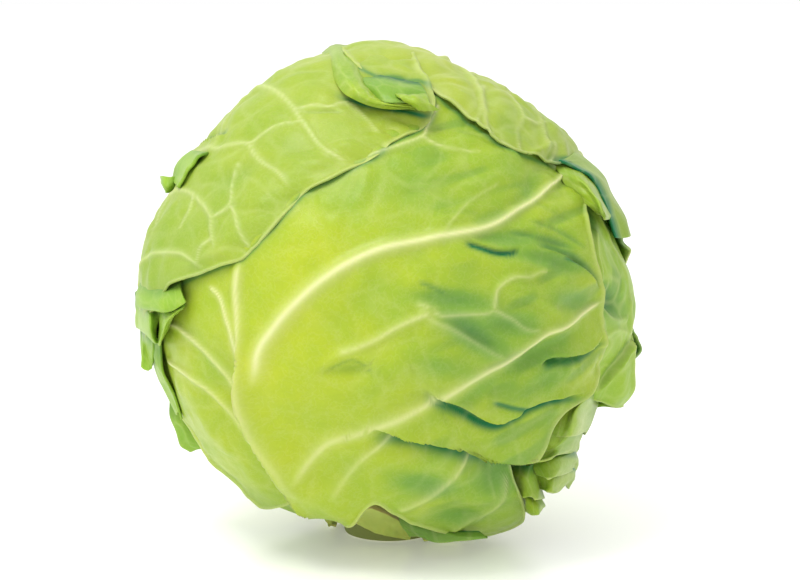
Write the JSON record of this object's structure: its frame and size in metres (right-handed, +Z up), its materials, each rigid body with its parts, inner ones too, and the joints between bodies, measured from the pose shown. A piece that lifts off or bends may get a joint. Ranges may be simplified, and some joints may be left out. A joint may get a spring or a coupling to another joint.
{
  "type": "cabbage head",
  "caption": "Round head of white cabbage standing on its cut stem, with loose wrapper leaves bent round a tight heart and stubs of cut leaves at the base.",
  "frame": {"origin": "centre of the stem's cut face, on the surface that the head stands on", "axes": "+Z up along the stem, -Y towards the front leaf's outside, +X to the right seen from the front"},
  "size_m": [0.1776, 0.1691, 0.1764],
  "materials": {
    "wrapper_leaf": "waxy, yellow-green with pale veins, satin",
    "side_leaf": "waxy, mid green with pale veins, satin",
    "heart_leaf": "pale yellow-green, smooth, satin",
    "leaf_stub": "pale cut rib with a drying edge, matte",
    "stem": "cream white fibrous stem, cut face matte and slightly brown"
  },
  "bodies": {
    "root": {"cut_stem": "stem", "heart": "heart_leaf", "front_leaf": "wrapper_leaf", "left_crown_leaf": "wrapper_leaf", "right_crown_leaf": "wrapper_leaf", "right_side_leaf": "side_leaf", "far_right_leaf": "side_leaf", "low_left_leaf": "side_leaf", "back_leaf": "side_leaf", "cut_leaf_stub_front_left": "leaf_stub", "cut_leaf_stub_front_right": "leaf_stub", "cut_leaf_stub_back": "leaf_stub", "cut_leaf_stub_left": "leaf_stub"}
  },
  "joints": []
}
